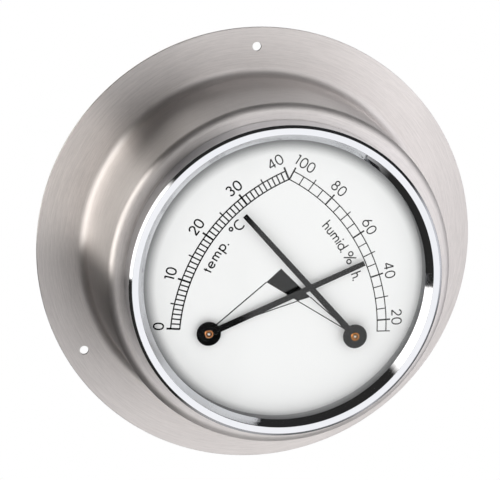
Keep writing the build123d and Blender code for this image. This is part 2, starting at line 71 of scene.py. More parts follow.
class Signal:
    """An output socket that can be calculated with; each step adds a node."""

    def __init__(self, graph, socket):
        self.graph = graph
        self.socket = socket

    __add__ = operator("ADD")
    __radd__ = operator("ADD", swapped=True)
    __sub__ = operator("SUBTRACT")
    __rsub__ = operator("SUBTRACT", swapped=True)
    __mul__ = operator("MULTIPLY")
    __truediv__ = operator("DIVIDE")

    def __abs__(self):
        return self.graph.math("ABSOLUTE", self)

    def ramp(self, low, high, start=0.0, end=1.0, smooth=True):
        """Goes from start to end while the signal goes from low to high."""
        return self.graph.add(
            "ShaderNodeMapRange",
            {"Value": self, "From Min": low, "From Max": high, "To Min": start, "To Max": end},
            interpolation_type="SMOOTHSTEP" if smooth else "LINEAR", clamp=True)

    def fall(self, low, high):
        return self.ramp(low, high, 1.0, 0.0)

    def band(self, low, high, low_soft, high_soft):
        """1 between low and high, 0 outside, with the half width of each soft edge."""
        return (self.ramp(low - low_soft, low + low_soft)
                * self.fall(high - high_soft, high + high_soft))

    def blend(self, first, second):
        """Mixes two colours."""
        return self.graph.add("ShaderNodeMix", {0: self, 6: first, 7: second}, output=2,
                              data_type="RGBA")

    def choose(self, first, second):
        """Mixes two numbers."""
        return self.graph.add("ShaderNodeMix", {0: self, 2: first, 3: second},
                              data_type="FLOAT")

    def bump(self, distance_mm):
        return self.graph.add("ShaderNodeBump", {
            "Height": self, "Distance": distance_mm * MM, "Strength": 1.0})


class Graph:
    """The node tree of a material or world, started empty."""

    def __init__(self, owner):
        owner.use_nodes = True
        self.owner = owner
        self.tree = owner.node_tree
        self.tree.nodes.clear()

    def node(self, kind, inputs=None, **props):
        node = self.tree.nodes.new(kind)
        for key, value in props.items():
            setattr(node, key, value)
        for key, value in (inputs or {}).items():
            if isinstance(value, Signal):
                self.tree.links.new(value.socket, node.inputs[key])
            else:
                node.inputs[key].default_value = value
        return node

    def outputs(self, kind, keys, inputs=None, **props):
        node = self.node(kind, inputs, **props)
        return [Signal(self, node.outputs[key]) for key in keys]

    def add(self, kind, inputs=None, output=0, **props):
        return self.outputs(kind, (output,), inputs, **props)[0]

    def math(self, operation, *values):
        return self.add("ShaderNodeMath", dict(enumerate(values)), operation=operation)

    def vector_math(self, operation, inputs):
        return self.add("ShaderNodeVectorMath", inputs, operation=operation)

    def combine(self, x, y, z):
        return self.add("ShaderNodeCombineXYZ", {0: x, 1: y, 2: z})

    def split(self, vector):
        return self.outputs("ShaderNodeSeparateXYZ", range(3), {0: vector})

    def coords(self, output="Object"):
        return self.add("ShaderNodeTexCoord", output=output)

    def camera_ray(self):
        return self.add("ShaderNodeLightPath", output="Is Camera Ray")

    def backfacing(self):
        return self.add("ShaderNodeNewGeometry", output="Backfacing")

    def noise(self, vector, scale=1.0, detail=2.0, rough=0.5, distortion=0.0):
        return self.add("ShaderNodeTexNoise", {
            "Vector": vector, "Scale": scale, "Detail": detail, "Roughness": rough,
            "Distortion": distortion})

    def polar(self, centre=(0.0, 0.0)):
        """x, y, z and the radius about an axis along Y through centre, in mm."""
        x, y, z = self.split(self.coords())
        x = x * 1000.0 - centre[0]
        y = y * 1000.0
        z = z * 1000.0 - centre[1]
        return x, y, z, self.math("SQRT", x * x + z * z)

    def direction(self, x, z, radius):
        """The unit direction away from the axis, kept finite on the axis itself."""
        safe = self.math("MAXIMUM", radius, 0.001)
        return x / safe, z / safe

    def ring_noise(self, direction, around, across, fine, detail, rough):
        """Noise drawn out round the axis: coarse around it, fine along the signal across."""
        vector = self.combine(direction[0] * around, direction[1] * around, across * fine)
        return self.noise(vector, detail=detail, rough=rough)

    def finish(self, shader):
        self.node("ShaderNodeOutputMaterial", {"Surface": shader})
        return self.owner

    def principled(self, inputs):
        return self.finish(self.add("ShaderNodeBsdfPrincipled", inputs))

    def coated(self, colour, rough, skin, coat):
        """A matt base under a clear, sharp coat with the same uneven skin."""
        return self.principled({
            "Base Color": colour, "Roughness": rough, "Specular IOR Level": 0.0,
            "Normal": skin, "Coat Weight": coat, "Coat Roughness": 0.0, "Coat IOR": 1.5,
            "Coat Normal": skin})


def new_graph(name):
    return Graph(bpy.data.materials.new(name))


def grey(value):
    return (value, value, value, 1.0)


# ---------------------------------------------------------------- materials
def brushed_round(name, colour, rough, aniso, centre=(0.0, 0.0), around=6.0, fine=2.6,
                  grain=0.10, depth=0.0016, groove=None, shaded_walls=None):
    """Metal brushed or turned round an axis along Y, so its highlight spreads across the lines.

    groove is (inner radius, outer radius, darkness) of a ring of painted shade. punched is the
    two radii between which walls that run along Y are darkened with painted shade.
    """
    graph = new_graph(name)
    x, y, z, radius = graph.polar(centre)
    outward = graph.direction(x, z, radius)
    across = radius + y * 1.0
    lines = graph.ring_noise(outward, around, across, fine, detail=4.0, rough=0.68)
    hair = graph.ring_noise(outward, around * 4, across, fine * 4.2, detail=2.0, rough=0.6)
    patch = graph.noise(graph.combine(x * 0.11, y * 0.11, z * 0.11))
    tone = (lines - 0.5) * (grain * 2.0) + ((hair - 0.5) * (grain * 1.6) + (patch - 0.5) * 0.1)
    factor = tone + 1.0
    # painted shade: a ring round the pivot is darkened as a recess in shadow
    if groove:
        inner, outer, darkness = groove
        factor = factor * (1.0 - radius.band(inner, outer, 0.06, 0.08) * darkness)
    # painted shade: walls along Y between the two radii, the screw holes' walls, are darkened as
    # if in shadow
    if shaded_walls:
        facing = graph.split(graph.coords("Normal"))[1]
        wall_shade = abs(facing).fall(0.35, 0.6) * radius.band(*shaded_walls, 0.3, 0.3)
        factor = factor * (1.0 - wall_shade * 0.72)
    tint = graph.vector_math("SCALE", {0: colour, "Scale": factor})
    roughness = rough + ((hair - 0.5) * 0.06 + (patch - 0.5) * 0.05)
    height = lines * 0.6 + hair * 0.4
    tangent = graph.add("ShaderNodeTangent", direction_type="RADIAL", axis="Y")
    return graph.principled({
        "Base Color": tint, "Metallic": 1.0, "Roughness": roughness, "Anisotropic": aniso,
        "Anisotropic Rotation": 0.25, "Tangent": tangent, "Normal": height.bump(depth)})


def turned(name, colour, centre, rough=0.24, **options):
    """A small turned part of the movement, on one of the pivots."""
    return brushed_round(name, colour, rough, aniso=0.5, centre=centre, around=2.0, **options)


def chrome():
    """Bright plating: almost mirror, with faint polishing marks round the ring and some haze."""
    graph = new_graph("polished_chrome")
    x, y, z, radius = graph.polar()
    outward = graph.direction(x, z, radius)
    right, up = outward
    marks = graph.ring_noise(outward, 9.0, radius + y, 7.0, detail=3.0, rough=0.6)
    haze = graph.noise(graph.coords(), scale=55.0, detail=3.0, rough=0.55)
    rough = 0.035 + (haze.ramp(0.45, 0.75) * 0.03 + marks.ramp(0.58, 0.8) * 0.05)
    tint = haze.ramp(0.3, 0.7).blend((0.685, 0.69, 0.72, 1), (0.665, 0.675, 0.705, 1))

    # the inner slope is only buffed, so it is softer than the land, most at the upper left
    inner = radius.fall(42.25, 42.5) * y.fall(-45.5, -45.4)
    worn = (right * -0.906 + up * 0.423).ramp(-0.05, 0.12, 0.015, 0.17)
    rough = rough + inner * worn

    # a tilt of the shading only: the inner slope mirrors a darker part of the studio at
    # the upper right, behind a ragged edge, and a lighter part at the lower left
    edge = graph.ring_noise(outward, 14.0, radius, 1.5, detail=2.0, rough=0.5)
    upper_right = right * 0.839 + up * 0.545 + (edge - 0.5) * 0.03
    tilt = (inner * upper_right.ramp(0.876, 0.886)) * -0.18
    rough = rough - upper_right.ramp(0.876, 0.886) * (inner * 0.02)
    lower_left = inner * (right * -0.669 + up * -0.743).ramp(0.80, 0.86)
    tilt = tilt + lower_left * 0.16
    rough = rough + lower_left * 0.10
    normal = graph.vector_math("ADD", {0: marks.bump(0.00012), 1: graph.combine(0.0, tilt, 0.0)})
    normal = graph.vector_math("NORMALIZE", {0: normal})
    return graph.principled({
        "Base Color": tint, "Metallic": 1.0, "Roughness": rough, "Normal": normal})


def enamel():
    """White stoved enamel: very slight orange peel and warmth, glossy."""
    graph = new_graph("white_enamel")
    peel = graph.noise(graph.coords(), scale=900.0)
    cloud = graph.noise(graph.coords(), scale=38.0)
    tint = cloud.blend((0.892, 0.892, 0.892, 1), (0.912, 0.912, 0.91, 1))
    return graph.coated(tint, 0.30 + cloud * 0.10, peel.bump(0.0004), coat=0.3)


def gloss_black(name, base, peel_scale):
    """Stoved black lacquer or glossy printing ink."""
    graph = new_graph(name)
    peel = graph.noise(graph.coords(), scale=peel_scale, detail=3.0, rough=0.55)
    dust = graph.noise(graph.coords(), scale=peel_scale * 4.0)
    tint = dust.ramp(0.62, 0.85).blend(grey(base), grey(base * 2.2 + 0.004))
    return graph.coated(tint, 0.35 + peel * 0.10, peel.bump(0.0003), coat=1.0)


def glass():
    """Coated flat glass, with painted shade on the rim of its front face, darkening the dial
    there.
    """
    graph = new_graph("clear_glass")
    _, y, _, radius = graph.polar(centre=(0.2, -0.45))
    front = y.ramp(-45.35, -45.42, smooth=False)
    # painted shade: only the camera sees the dial darkened through this ring, as if the bezel
    # shaded it
    rim_shade = radius.ramp(37.0, 41.4) * front * graph.camera_ray()
    tint = rim_shade.blend((0.996, 0.998, 0.997, 1), (0.30, 0.305, 0.31, 1))
    clear = graph.add("ShaderNodeBsdfTransparent", {"Color": tint})
    smear = graph.noise(graph.coords(), scale=60.0, detail=3.0, rough=0.6)
    shine = graph.add("ShaderNodeBsdfGlossy", {
        "Color": (0.93, 0.96, 1.0, 1), "Roughness": smear.ramp(0.4, 0.8) * 0.05})
    # only the camera sees the reflection, and only on faces turned towards it
    reflection = graph.add("ShaderNodeFresnel", {"IOR": 1.15})
    reflection = reflection * (1.0 - graph.backfacing()) * graph.camera_ray()
    return graph.finish(graph.add("ShaderNodeMixShader", {0: reflection, 1: clear, 2: shine}))


def rubber():
    graph = new_graph("black_rubber")
    grain = graph.noise(graph.coords(), scale=4200.0, detail=4.0, rough=0.6)
    bloom = graph.noise(graph.coords(), scale=130.0)
    return graph.principled({
        "Base Color": bloom.ramp(0.45, 0.8).blend(grey(0.014), grey(0.032)),
        "Roughness": 0.62 + grain * 0.25, "Normal": grain.bump(0.02)})


def spacer_plastic():
    """Moulded plastic with a fine spark-eroded grain."""
    graph = new_graph("grey_spacer")
    grain = graph.noise(graph.coords(), scale=5200.0, detail=3.0, rough=0.6)
    cloud = graph.noise(graph.coords(), scale=90.0)
    return graph.principled({
        "Base Color": cloud.blend((0.42, 0.42, 0.425, 1), (0.47, 0.47, 0.475, 1)),
        "Roughness": 0.42 + grain * 0.2, "Normal": grain.bump(0.012)})


def brushed_flat(name, first, second, rough, stretch=22.0, scale=260.0, depth=0.002):
    """Metal rolled or brushed along X, in two tones with slight tarnish."""
    graph = new_graph(name)
    coords = graph.coords()
    drawn_out = graph.vector_math("MULTIPLY", {0: coords, 1: (1.0, stretch, stretch)})
    lines = graph.noise(drawn_out, scale=scale, detail=4.0, rough=0.62)
    spots = graph.noise(coords, scale=240.0, detail=4.0, rough=0.6, distortion=0.4)
    tint = lines.ramp(0.3, 0.7).blend(first, second)
    dull = tuple(channel * 0.62 for channel in first[:3]) + (1,)
    tint = (spots.ramp(0.56, 0.78) * 0.25).blend(tint, dull)
    roughness = rough + ((lines - 0.5) * 0.2 + spots.ramp(0.5, 0.8) * 0.16)
    return graph.principled({
        "Base Color": tint, "Metallic": 1.0, "Roughness": roughness,
        "Normal": lines.bump(depth)})


def strip(name, first, second, rough, metallic):
    """The thin strip of a coil: rolled lines along its length, two tones across it."""
    graph = new_graph(name)
    coords = graph.coords()
    x, y, z = graph.split(coords)
    rolled = graph.noise(graph.combine(x * 90.0, y * 5200.0, z * 90.0), detail=3.0, rough=0.6)
    cloud = graph.noise(coords, scale=320.0, detail=3.0, rough=0.6)
    tint = (rolled * 0.6 + cloud * 0.4).ramp(0.35, 0.65).blend(first, second)
    return graph.principled({
        "Base Color": tint, "Metallic": metallic, "Roughness": rough + rolled * 0.12,
        "Normal": rolled.bump(0.003)})


BRASS = (0.80, 0.57, 0.25)
MATERIALS = {
    # the stainless carries painted shade on the walls of its screw holes
    "stainless": brushed_round("brushed_stainless", (0.795, 0.752, 0.737), rough=0.345,
                               aniso=1.0, grain=0.19, depth=0.0022, shaded_walls=(57.5, 63.0)),
    "chrome": chrome(),
    "glass": glass(),
    "rubber": rubber(),
    "spacer": spacer_plastic(),
    "enamel": enamel(),
    "lacquer": gloss_black("black_lacquer", base=0.0025, peel_scale=700.0),
    "ink": gloss_black("dial_ink", base=0.003, peel_scale=1500.0),
    # the copper collars carry a ring of painted shade round the pivot
    "copper_t": turned("copper_alloy", (0.90, 0.40, 0.13), THERMO, fine=16.0, depth=0.001,
                       groove=(0.58, 0.92, 0.86)),
    "copper_h": turned("copper_alloy_h", (0.80, 0.36, 0.15), HYGRO, fine=16.0, depth=0.001,
                       groove=(0.52, 0.92, 0.86)),
    "brass_flat": brushed_flat("brass", (0.80, 0.58, 0.26, 1), (0.72, 0.51, 0.22, 1),
                               rough=0.27),
    "brass_t": turned("brass_turned_t", BRASS, THERMO, rough=0.22, fine=14.0),
    "brass_h": turned("brass_turned_h", BRASS, HYGRO, rough=0.22, fine=14.0),
    "steel": brushed_flat("bright_steel", (0.66, 0.66, 0.67, 1), (0.58, 0.58, 0.60, 1),
                          rough=0.2, stretch=6.0, scale=900.0),
    "bimetal": strip("bimetal_strip", (0.62, 0.58, 0.50, 1), (0.52, 0.49, 0.45, 1),
                     rough=0.28, metallic=1.0),
    "coated": strip("coated_strip", (0.56, 0.42, 0.24, 1), (0.44, 0.32, 0.18, 1),
                    rough=0.5, metallic=0.15),
    "plated": brushed_flat("plated_case", (0.70, 0.705, 0.70, 1), (0.60, 0.61, 0.62, 1),
                           rough=0.3, stretch=3.0, scale=420.0, depth=0.003),
}

# which material each CAD piece wears
PIECE_MATERIALS = {
    "flange_housing": "stainless", "bezel_ring": "chrome", "front_glass": "glass",
    "glass_gasket": "rubber", "housing_gasket": "rubber", "dial_spacer_ring": "spacer",
    "dial_plate": "enamel", "thermo_pointer": "lacquer", "hygro_pointer": "lacquer",
    "thermo_pointer_collar": "copper_t", "hygro_pointer_collar": "copper_h",
    "movement_plate": "brass_flat", "thermo_bridge": "brass_flat",
    "hygro_bridge": "brass_flat", "thermo_front_bush": "brass_t",
    "thermo_rear_bush": "brass_t", "thermo_collet": "brass_t",
    "hygro_front_bush": "brass_h", "hygro_rear_bush": "brass_h", "hygro_collet": "brass_h",
    "thermo_arbor": "steel", "hygro_arbor": "steel", "dial_nuts": "steel",
    "bridge_screws": "steel", "regulator_washers": "steel", "thermo_regulator": "steel",
    "hygro_regulator": "steel", "retaining_springs": "steel", "spring_rivets": "steel",
    "thermo_bimetal_coil": "bimetal", "hygro_strip_coil": "coated", "insert_case": "plated",
}


def dress_pieces():
    for name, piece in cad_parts.items():
        material = MATERIALS[PIECE_MATERIALS[name]]
        if not piece.material_slots:
            piece.data.materials.append(material)
        for slot in piece.material_slots:
            slot.material = material


dress_pieces()


# ---------------------------------------------------------------- mesh helpers
def new_object(name, verts, faces):
    mesh = bpy.data.meshes.new(name)
    mesh.from_pydata(verts, [], faces)
    obj = bpy.data.objects.new(name, mesh)
    scene.collection.objects.link(obj)
    return obj


def clean(mesh):
    """Turns the faces outwards and shades smooth, with sharp edges kept crisp."""
    work = bmesh.new()
    work.from_mesh(mesh)
    bmesh.ops.recalc_face_normals(work, faces=work.faces)
    for face in work.faces:
        face.smooth = True
    for edge in work.edges:
        edge.smooth = (len(edge.link_faces) == 2
                       and edge.calc_face_angle(0.0) < rad(CREASE_ANGLE))
    work.to_mesh(mesh)
    work.free()
    mesh.update()


def seat(obj, slot, material, *replaced):
    """Gives a new object its material and fixes it to the case."""
    obj.data.materials.clear()
    obj.data.materials.append(material)
    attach(obj, "case")
    if replaced:
        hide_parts(*replaced)


def lathe(name, section):
    """Turns a closed section [(radius, depth)] in mm round the Y axis."""
    verts, faces = [], []
    count = len(section)
    for j in range(TURNED_SEGMENTS):
        angle = 2 * pi * j / TURNED_SEGMENTS
        verts += [(r * cos(angle) * MM, -d * MM, r * sin(angle) * MM) for r, d in section]
    for j in range(TURNED_SEGMENTS):
        here, there = j * count, (j + 1) % TURNED_SEGMENTS * count
        for i in range(count):
            k = (i + 1) % count
            faces.append((here + i, here + k, there + k, there + i))
    obj = new_object(name, verts, faces)
    clean(obj.data)
    return obj


def fillet_points(corners, steps=8, support=0.06):
    """Rounds a closed section [(radius, depth, fillet radius)].

    Where there is room, a point on either side holds the shading of the fillet.
    """
    out = []
    for i, (r, d, fillet) in enumerate(corners):
        corner = Vector((r, d))
        if fillet <= 0:
            out.append((corner.x, corner.y))
            continue
        before = Vector(corners[i - 1][:2]) - corner
        after = Vector(corners[(i + 1) % len(corners)][:2]) - corner
        room_before, room_after = before.length, after.length
        before.normalize()
        after.normalize()
        angle = math.acos(max(-1, min(1, before.dot(after))))
        setback = fillet / math.tan(angle / 2)
        centre = corner + (before + after).normalized() * (fillet / sin(angle / 2))
        start, end = corner + before * setback, corner + after * setback
        if room_before - setback > 3 * support:
            held = start + before * support
            out.append((held.x, held.y))
        first, last = start - centre, end - centre
        first_angle = math.atan2(first.y, first.x)
        turn = math.atan2(last.y, last.x) - first_angle
        turn = (turn + pi) % (2 * pi) - pi
        for j in range(steps + 1):
            angle = first_angle + turn * j / steps
            out.append((centre.x + fillet * cos(angle), centre.y + fillet * sin(angle)))
        if room_after - setback > 3 * support:
            held = end + after * support
            out.append((held.x, held.y))
    return out


# ---------------------------------------------------------------- bezel
# radius, depth, fillet radius; the front land leans in a little, as pressed rings do
BEZEL_SECTION = [
    (43.35, 36.4, 0), (43.9, 36.4, 0), (43.9, 39.55, 0), (45.3, 39.55, 0.08),
    (45.1, 46.98, 0.30), (44.30, 47.70, 0.14), (42.48, 47.64, 0.12), (41.60, 46.60, 3.0),
    (40.70, 45.46, 0), (43.35, 45.46, 0),
]
bezel = lathe("bezel_ring_polished", fillet_points(BEZEL_SECTION))
seat(bezel, "polished_chrome", MATERIALS["chrome"], "bezel_ring")

# ---------------------------------------------------------------- housing
SHEET = 1.0  # thickness of the spun sheet
RIM_RADIUS = 66.0
RIM_ROUND = 0.14  # front edge of the rim
WALL_LEAN = -2.437  # degrees; the wall narrows towards the front
COVE_AT = 54.4  # radius at which the cove's arcs are centred
COVE_ROUND = 3.1  # on the front of the sheet
COVE_DEPTH = COVE_ROUND + SHEET
SHOULDER_AT, SHOULDER_DEPTH = 47.5, 36.9  # centre of the shoulder's arcs
SHOULDER_ROUND = 1.4  # on the inside of the sheet
LIP_BACK = SHOULDER_DEPTH + SHOULDER_ROUND
LIP_FRONT = LIP_BACK + SHEET

HOLE_COUNT = 3
HOLE_CIRCLE = 60.25
FIRST_HOLE = 93.3  # degrees
HOLE_SIDES = 48
CUTTER_BACK, CUTTER_FRONT = -0.6, 1.6
# radius, depth: a straight hole with a small broken edge at the front
HOLE_PROFILE = [(1.35, CUTTER_BACK), (1.35, 0.96), (1.38, SHEET), (1.38, CUTTER_FRONT)]


def section_arc(centre_radius, centre_depth, size, start, end, steps):
    """Arc points (radius, depth), with angles in degrees turning towards the wall."""
    angles = [rad(start + (end - start) * i / steps) for i in range(steps + 1)]
    return [(centre_radius + size * cos(a), centre_depth - size * sin(a)) for a in angles]


def housing_section():
    """Flange, cove, leaning wall, shoulder and lip in one sheet."""
    cove_angle = 180 + WALL_LEAN
    cove_back = section_arc(COVE_AT, COVE_DEPTH, COVE_ROUND + SHEET, cove_angle, 90, 14)
    cove_front = section_arc(COVE_AT, COVE_DEPTH, COVE_ROUND, cove_angle, 90, 20)
    shoulder_in = section_arc(SHOULDER_AT, SHOULDER_DEPTH, SHOULDER_ROUND, -90, WALL_LEAN, 10)
    shoulder_out = section_arc(SHOULDER_AT, SHOULDER_DEPTH, SHOULDER_ROUND + SHEET,
                               -90, WALL_LEAN, 16)
    flange_back = [(RIM_RADIUS, 0.06), (65.94, 0.0), (65.7, 0.0), (60.0, 0.0), (54.8, 0.0)]
    lip = [(47.2, LIP_BACK), (44.25, LIP_BACK), (44.1, 38.45), (44.1, 39.15),
           (44.25, LIP_FRONT), (44.4, LIP_FRONT), (47.2, LIP_FRONT)]
    (top_r, top_d), (foot_r, foot_d) = shoulder_out[-1], cove_front[0]
    wall = [(top_r + (foot_r - top_r) * t, top_d + (foot_d - top_d) * t)
            for t in (0.008, 0.33, 0.66, 0.992)]
    flange_front = [(54.7, SHEET), (58.0, SHEET), (62.6, SHEET), (65.78, SHEET)]
    rim = section_arc(RIM_RADIUS - RIM_ROUND, SHEET - RIM_ROUND, RIM_ROUND, -90, 0, 6)
    return (flange_back + cove_back[::-1] + shoulder_in[::-1] + lip + shoulder_out + wall
            + cove_front + flange_front + rim)


def hole_cutter(angle):
    """A closed plug with the shape of one hole, at an angle in degrees round the flange."""
    x, z = HOLE_CIRCLE * cos(rad(angle)), HOLE_CIRCLE * sin(rad(angle))
    sides = HOLE_SIDES
    verts = [(x * MM, -CUTTER_BACK * MM, z * MM), (x * MM, -CUTTER_FRONT * MM, z * MM)]
    for r, d in HOLE_PROFILE:
        verts += [((x + r * cos(2 * pi * j / sides)) * MM, -d * MM,
                   (z + r * sin(2 * pi * j / sides)) * MM) for j in range(sides)]
    rings = [2 + i * sides for i in range(len(HOLE_PROFILE))]
    faces = []
    for ring, following in zip(rings, rings[1:]):
        for j in range(sides):
            k = (j + 1) % sides
            faces.append((ring + j, ring + k, following + k, following + j))
    for j in range(sides):
        k = (j + 1) % sides
        faces.append((0, rings[0] + k, rings[0] + j))
        faces.append((1, rings[-1] + j, rings[-1] + k))
    cutter = new_object("cutter", verts, faces)
    clean(cutter.data)
    return cutter


def cut(obj, cutter):
    """Cuts one object out of another for good, and removes the cutter."""
    modifier = obj.modifiers.new("hole", "BOOLEAN")
    modifier.operation = "DIFFERENCE"
    modifier.solver = "EXACT"
    modifier.object = cutter
    bpy.context.view_layer.update()
    evaluated = obj.evaluated_get(bpy.context.evaluated_depsgraph_get())
    mesh = bpy.data.meshes.new_from_object(evaluated)
    obj.modifiers.clear()
    obj.data = mesh
    bpy.data.objects.remove(cutter)


housing = lathe("flange_housing_spun", housing_section())
for hole in range(HOLE_COUNT):
    cut(housing, hole_cutter(FIRST_HOLE + 360 / HOLE_COUNT * hole))
clean(housing.data)
seat(housing, "brushed_stainless", MATERIALS["stainless"], "flange_housing")

# ---------------------------------------------------------------- printed dial
# Everything printed is collected as flat polygons (x, z) in mm, then united.
PRINT_BACK, PRINT_FRONT = -40.6, -40.63  # y of the two faces of the ink
ARC_X, ARC_Z = 21.4265, -17.0935  # centre of the thermometer arcs; the other is at -ARC_X
SCALE_START, SCALE_END = 1.728, 64.712  # degrees above the horizontal
ARC_INNER, ARC_OUTER = 50.30, 52.92
LONG_TICK = 54.11
ARC_STEPS = 90
THERMO_TOP = 40  # degrees Celsius, from 0
HYGRO_LOW, HYGRO_TOP = 15, 100  # per cent
NUMERAL = 2.76  # height of a numeral on its centre lines
SMALL = 1.70  # height of a small letter

ink = []


def line(points, width, closed=False):
    """Prints a stroke along points, as a chain of quads with mitred joints."""
    path = [Vector(p) for p in points]
    count = len(path)
    left, right = [], []
    for i in range(count):
        if closed:
            before, after = path[i] - path[i - 1], path[(i + 1) % count] - path[i]
        else:
            before = path[i] - path[i - 1] if i > 0 else path[1] - path[0]
            after = path[i + 1] - path[i] if i < count - 1 else path[-1] - path[-2]
        before.normalize()
        after.normalize()
        along = (before + after).normalized()
        mitre = Vector((-along.y, along.x))
        reach = width / 2 / max(0.5, mitre.dot(Vector((-before.y, before.x))))
        left.append(path[i] + mitre * reach)
        right.append(path[i] - mitre * reach)
    for i in range(count if closed else count - 1):
        j = (i + 1) % count
        ink.append([tuple(left[i]), tuple(left[j]), tuple(right[j]), tuple(right[i])])


def place(x, z, up, across, along):
    """The point that lies across and along from (x, z), where along points at the angle up."""
    turn = rad(up)
    return (x + sin(turn) * across + cos(turn) * along,
            z - cos(turn) * across + sin(turn) * along)


# A glyph is a list of strokes (points, closed), drawn upright from its baseline centre.
def stroke(*points):
    return points, False


def bend(x, y, width, height, start, end, steps):
    """Points of an elliptical arc, from its centre, half sizes and angles in degrees."""
    angles = [rad(start + (end - start) * i / steps) for i in range(steps + 1)]
    return [(x + width * cos(a), y + height * sin(a)) for a in angles]


def loop(x, y, width, height, steps=40, power=2.0):
    """A closed stroke along a superellipse."""
    def squared(value):
        return math.copysign(abs(value) ** (2 / power), value)

    angles = [rad(360.0 * i / steps) for i in range(steps)]
    return [(x + width * squared(cos(a)), y + height * squared(sin(a))) for a in angles], True


def scaled(*points):
    """An open stroke with its points in numeral heights."""
    return stroke(*[(x * NUMERAL, y * NUMERAL) for x, y in points])


DIGITS = {
    "0": [loop(0, NUMERAL / 2, 0.90, NUMERAL / 2, steps=44, power=2.25)],
    "1": [scaled((0, 0), (0, 1)),
          stroke((-0.62, 0.93 * NUMERAL), (0.06, 0.985 * NUMERAL))],
    "2": [scaled(*bend(0, 0.715, 0.285, 0.285, 170, -32, 22), (-0.27, 0.02)),
          scaled((-0.30, 0), (0.30, 0))],
    "3": [stroke(*bend(-0.02, 0.765 * NUMERAL, 0.235 * NUMERAL, 0.235 * NUMERAL,
                       155, -90, 20)),
          stroke(*bend(-0.02, 0.27 * NUMERAL, 0.275 * NUMERAL, 0.26 * NUMERAL,
                       90, -155, 22))],
    "4": [scaled((0.16, 0), (0.16, 1)), scaled((0.14, 1), (-0.34, 0.27)),
          scaled((-0.36, 0.25), (0.31, 0.25))],
    "6": [loop(0, 0.30 * NUMERAL, 0.315 * NUMERAL, 0.30 * NUMERAL),
          scaled((0.10, 1.02), (-0.265, 0.46))],
    "8": [loop(0, 0.765 * NUMERAL, 0.225 * NUMERAL, 0.235 * NUMERAL),
          loop(0, 0.27 * NUMERAL, 0.29 * NUMERAL, 0.27 * NUMERAL)],
}

STEM = SMALL + 0.12  # top of the stem of a small letter
BOWL = loop(0, SMALL / 2, 0.82, SMALL / 2)
LETTERS = {
    "t": [stroke((0, 0), (0, 2.35)), stroke((-0.42, SMALL), (0.42, SMALL))],
    "e": [stroke(*bend(0, SMALL / 2, 0.85, SMALL / 2, 0, 318, 30)),
          stroke((-0.85, SMALL / 2), (0.85, SMALL / 2))],
    "m": [stroke((-1.12, 0), (-1.12, STEM)),
          stroke(*bend(-0.56, SMALL - 0.56, 0.56, 0.56, 180, 0, 14), (0, 0)),
          stroke(*bend(0.56, SMALL - 0.56, 0.56, 0.56, 180, 0, 14), (1.12, 0))],
    "p": [BOWL, stroke((-0.82, -1.1), (-0.82, STEM))],
    "h": [stroke((-0.58, 0), (-0.58, 3.0)),
          stroke(*bend(0, SMALL - 0.58, 0.58, 0.58, 180, 0, 14), (0.58, 0))],
    "u": [stroke((-0.58, STEM), *bend(0, 0.58, 0.58, 0.58, 180, 360, 14)),
          stroke((0.58, 0), (0.58, STEM))],
    "i": [stroke((0, 0), (0, SMALL + 0.1)), stroke((0, 2.32), (0, 2.72))],
    "d": [BOWL, stroke((0.82, 0), (0.82, 3.0))],
    "r": [stroke((-0.04, 0), (-0.04, STEM)),
          stroke(*bend(0.42, SMALL - 0.46, 0.46, 0.46, 180, 62, 10))],
    ".": [stroke((0, -0.18), (0, 0.24))],
    "o": [loop(0, 2.22, 0.50, 0.50)],  # degree sign
    "C": [stroke(*bend(0.12, 1.40, 1.34, 1.40, 52, 308, 30))],
    "%": [loop(-0.90, 2.30, 0.62, 0.62), loop(0.90, 0.84, 0.62, 0.62),
          stroke((-0.92, 0.0), (0.92, 3.2))],
}

# numerals, offset of each along the row, x, z, angle of the place on the dial,
# extra lean, stroke width, shift across that angle, lift along it
NUMBERS = [
    ("0", (0,), -34.83, -14.94, 177.8, 0.5, 0.44, 0.10, 0.16),
    ("10", (-0.9, 0.9), -32.23, 0.34, 162.0, 5.0, 0.44, 0.0, 0.18),
    ("20", (-1.22, 1.22), -25.6, 14.02, 146.5, 0.5, 0.44, 0.0, 0.2),
    ("30", (-1.25, 1.25), -15.6, 25.38, 131.1, 0.0, 0.44, -0.06, 0.14),
    ("40", (-1.2, 1.2), -3.88, 33.31, 116.7, 6.0, 0.36, -0.36, 0.2),
    ("100", (-2.17, -0.24, 2.2), 4.67, 32.94, 62.45, -2.5, 0.36, -0.46, -0.12),
    ("80", (-1.24, 1.24), 14.76, 25.99, 50.0, 0.0, 0.36, -0.2, 0.04),
    ("60", (-1.27, 1.27), 24.46, 15.04, 35.0, -3.0, 0.36, -0.34, 0.04),
    ("40", (-1.27, 1.27), 31.33, 2.23, 20.1, -5.5, 0.36, -0.34, -0.06),
    ("20", (-1.27, 1.27), 34.45, -11.36, 5.9, -1.5, 0.36, -0.14, -0.1),
]

# x of the arc centre, radius of the baseline, stroke width, (letter, angle) of each
LEGENDS = [
    (ARC_X, 45.95, 0.41,
     [("t", 156.6), ("e", 154.2), ("m", 150.7), ("p", 147.1), (".", 145.1)]),
    (ARC_X, 46.1, 0.42, [("o", 140.4), ("C", 137.5)]),
    (-ARC_X, 45.2, 0.36,
     [("h", 44.3), ("u", 41.9), ("m", 38.9), ("i", 36.6), ("d", 34.8), (".", 33.1),
      ("%", 29.6), ("r", 26.0), (".", 24.9), ("h", 22.9), (".", 21.4)]),
]

# corners of the comfort field (x, z), and its guide lines from the two pivots
FIELD = [(-0.60, 2.51), (-4.63, -1.53), (4.84, -6.93), (8.42, -5.71)]
GUIDES = [(HYGRO, FIELD[1], 0.33), (HYGRO, FIELD[2], 0.28),
          (THERMO, FIELD[2], 0.28), (THERMO, FIELD[3], 0.28)]


